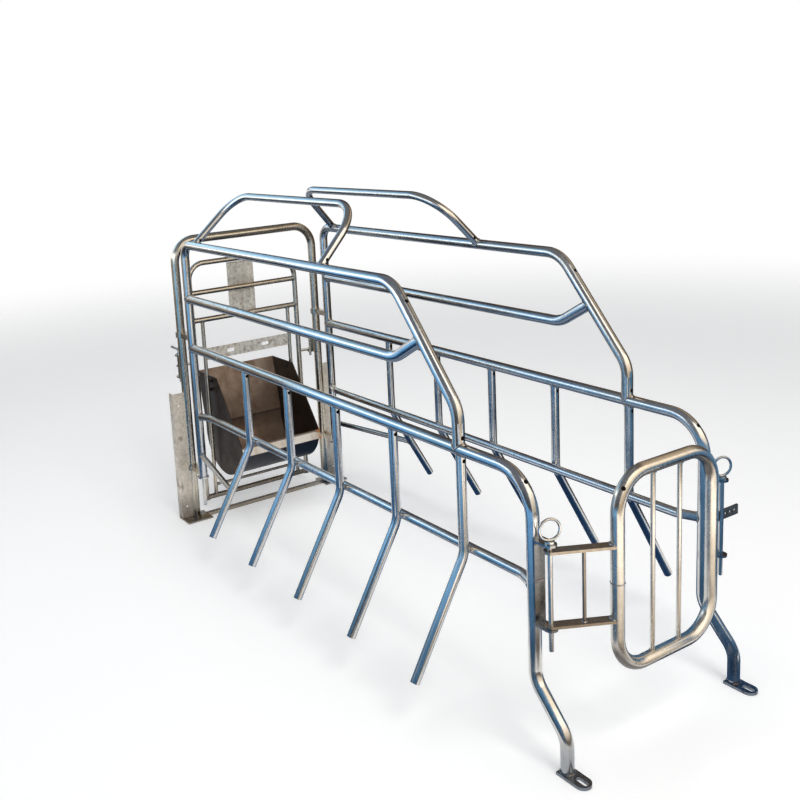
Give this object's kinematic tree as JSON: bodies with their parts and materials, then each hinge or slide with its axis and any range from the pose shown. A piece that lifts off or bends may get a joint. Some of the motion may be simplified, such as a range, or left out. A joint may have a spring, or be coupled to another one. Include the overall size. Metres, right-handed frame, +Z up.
{
  "type": "farrowing crate",
  "caption": "Open galvanised tube crate for a sow, with bowed finger bars, leaning hoops, a hinged head gate with a feed trough and a pinned rear gate.",
  "frame": {"origin": "on the floor, under the middle of the whole crate's box", "axes": "+X from the head end with the trough to the rear gate, +Z up, the left panel on -Y"},
  "size_m": [2.305, 1.0172, 1.3275],
  "materials": {
    "galvanised_tube": "hot-dip galvanised, worn and streaked",
    "zinc_pin": "bright zinc",
    "dull_sheet": "matte spangled zinc sheet",
    "trough_sheet": "bare sheet, stained, with rust at the edges"
  },
  "bodies": {
    "crate": {"left_top_tube": "galvanised_tube", "right_top_tube": "galvanised_tube", "left_upper_rail": "galvanised_tube", "right_upper_rail": "galvanised_tube", "left_mid_rail": "galvanised_tube", "right_mid_rail": "galvanised_tube", "left_finger_bars": "galvanised_tube", "right_finger_bars": "galvanised_tube", "left_lower_rail": "galvanised_tube", "right_lower_rail": "galvanised_tube", "left_front_brace": "galvanised_tube", "right_front_brace": "galvanised_tube", "left_hoop": "galvanised_tube", "right_hoop": "galvanised_tube", "left_foot_plate": "galvanised_tube", "right_foot_plate": "galvanised_tube", "left_post_end": "galvanised_tube", "right_post_end": "galvanised_tube", "left_post_eyes": "galvanised_tube", "right_post_eyes": "galvanised_tube", "left_gate_bracket": "galvanised_tube", "right_gate_bracket": "galvanised_tube", "gate_hinge_pin": "zinc_pin", "head_arch": "galvanised_tube", "base_plate_bar": "dull_sheet", "left_side_channel": "dull_sheet", "right_side_channel": "dull_sheet", "left_head_bracket": "galvanised_tube", "right_head_bracket": "galvanised_tube", "head_hinge_pin": "zinc_pin"},
    "rear_gate": {"gate_loop": "galvanised_tube", "gate_rods": "galvanised_tube", "gate_arms": "galvanised_tube", "gate_arm_rod": "galvanised_tube", "gate_latch_strap": "galvanised_tube"},
    "gate_latch": {"gate_latch_pin": "zinc_pin"},
    "head_gate": {"head_gate_frame": "galvanised_tube", "head_gate_bars": "galvanised_tube", "head_gate_rods": "galvanised_tube", "tag_plate": "dull_sheet", "hanger_strap": "dull_sheet", "head_gate_lugs": "galvanised_tube", "feed_trough": "trough_sheet"},
    "head_latch": {"head_latch_pin": "zinc_pin"}
  },
  "joints": [
    {"name": "rear_gate_swing", "type": "hinge", "parent": "crate", "child": "rear_gate", "pos_m": [1.0355, -0.318, 0.468], "axis": [0, 0, -1], "range_deg": [0, 110]},
    {"name": "gate_latch_lift", "type": "slide", "parent": "crate", "child": "gate_latch", "axis": [0, 0, 1], "range_m": [0, 0.19]},
    {"name": "head_gate_swing", "type": "hinge", "parent": "crate", "child": "head_gate", "pos_m": [-1.0255, 0.304, 0.6325], "axis": [0, 0, -1], "range_deg": [0, 100]},
    {"name": "head_latch_lift", "type": "slide", "parent": "crate", "child": "head_latch", "axis": [0, 0, 1], "range_m": [0, 0.08]}
  ]
}
